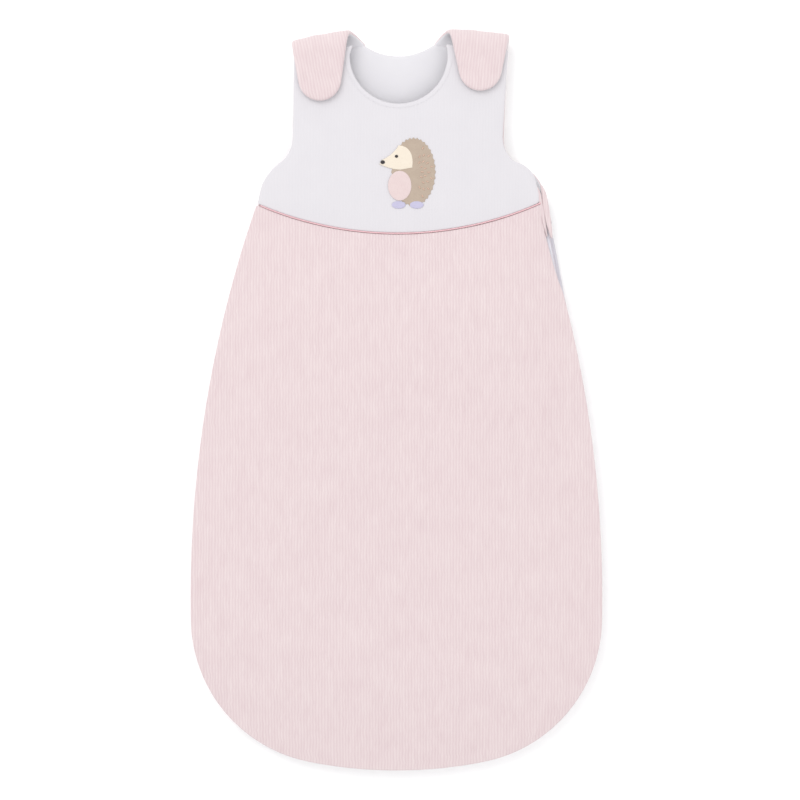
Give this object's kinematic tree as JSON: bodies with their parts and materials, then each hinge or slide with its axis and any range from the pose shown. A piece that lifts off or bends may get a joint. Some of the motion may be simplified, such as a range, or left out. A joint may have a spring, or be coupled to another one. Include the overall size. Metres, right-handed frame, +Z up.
{
  "type": "baby sleeping bag",
  "caption": "Sleeveless padded baby sleeping bag, lying flat, with snap shoulder straps that fold forward and a zip down one side and round the hem.",
  "frame": {"origin": "centre of the footprint, on the surface that the bag lies on", "axes": "+Y from hem to shoulders, +X towards the zip side, +Z up through the front"},
  "size_m": [0.3883, 0.7, 0.0328],
  "materials": {
    "pink_knit": "ribbed pink jersey",
    "white_knit": "white jersey",
    "lining": "smooth white jersey",
    "wadding": "loose polyester wadding",
    "piping": "coral piping",
    "zip_tape": "woven lilac tape",
    "zip_coil": "moulded coil",
    "zip_metal": "satin plated",
    "snap_plastic": "satin",
    "felt_taupe": "brushed felt",
    "felt_cream": "brushed felt",
    "felt_pink": "brushed felt",
    "felt_lilac": "brushed felt",
    "thread_black": "satin stitch",
    "thread_peach": "satin stitch"
  },
  "bodies": {
    "bag": {"back_shell": "pink_knit", "back_wadding": "wadding", "back_lining": "lining", "side_seam": "pink_knit", "skirt_shell": "pink_knit", "skirt_wadding": "wadding", "skirt_lining": "lining", "bodice_shell": "white_knit", "bodice_wadding": "wadding", "bodice_lining": "lining", "waist_piping": "piping", "zip_guard": "pink_knit", "zip_tape_back": "zip_tape", "zip_coil_back": "zip_coil", "zip_tape_front": "zip_tape", "zip_coil_front": "zip_coil", "zip_top_stops": "zip_metal", "zip_end_stop": "zip_metal", "bodice_stud_left": "snap_plastic", "bodice_stud_right": "snap_plastic", "stud_washers": "snap_plastic", "motif_back": "felt_taupe", "motif_face": "felt_cream", "motif_tummy": "felt_pink", "motif_feet": "felt_lilac", "motif_eye_and_nose": "thread_black", "motif_spines": "thread_peach", "strap_left_fold": "pink_knit", "strap_right_fold": "pink_knit"},
    "front_flap": {"flap_shell": "pink_knit", "flap_wadding": "wadding", "flap_lining": "lining", "flap_zip_tape": "zip_tape", "flap_zip_coil": "zip_coil"},
    "strap_left": {"strap_left_shell": "pink_knit", "strap_left_wadding": "wadding", "strap_left_lining": "lining", "strap_left_socket": "snap_plastic", "strap_left_cap": "snap_plastic"},
    "strap_right": {"strap_right_shell": "pink_knit", "strap_right_wadding": "wadding", "strap_right_lining": "lining", "strap_right_socket": "snap_plastic", "strap_right_cap": "snap_plastic"},
    "zip_slider": {"zip_slider": "zip_metal"},
    "zip_pull": {"zip_pull": "zip_metal"}
  },
  "joints": [
    {"name": "flap_fold", "type": "hinge", "parent": "bag", "child": "front_flap", "pos_m": [0.00341, -0.08495, 0.0332], "axis": [-0.5317, -0.847, 0], "range_deg": [0, 150]},
    {"name": "strap_left_fold", "type": "hinge", "parent": "bag", "child": "strap_left", "pos_m": [-0.07125, 0.34375, 0.01425], "axis": [-0.9832, -0.1827, 0], "range_deg": [0, 178], "deforming": ["strap_left_fold"]},
    {"name": "strap_right_fold", "type": "hinge", "parent": "bag", "child": "strap_right", "pos_m": [0.0773, 0.3472, 0.01425], "axis": [-0.9956, 0.0939, 0], "range_deg": [0, 178], "deforming": ["strap_right_fold"]},
    {"name": "zip_slide", "type": "hinge", "parent": "bag", "child": "zip_slider", "pos_m": [-2.20767, -0.32667, 0.012], "axis": [0, 0, -1], "range_deg": [0, 8.87]},
    {"name": "pull_hinge", "type": "hinge", "parent": "zip_slider", "child": "zip_pull", "pos_m": [0.14132, 0.18746, 0.012], "axis": [0, 0, 1], "range_deg": [0, 175]}
  ]
}
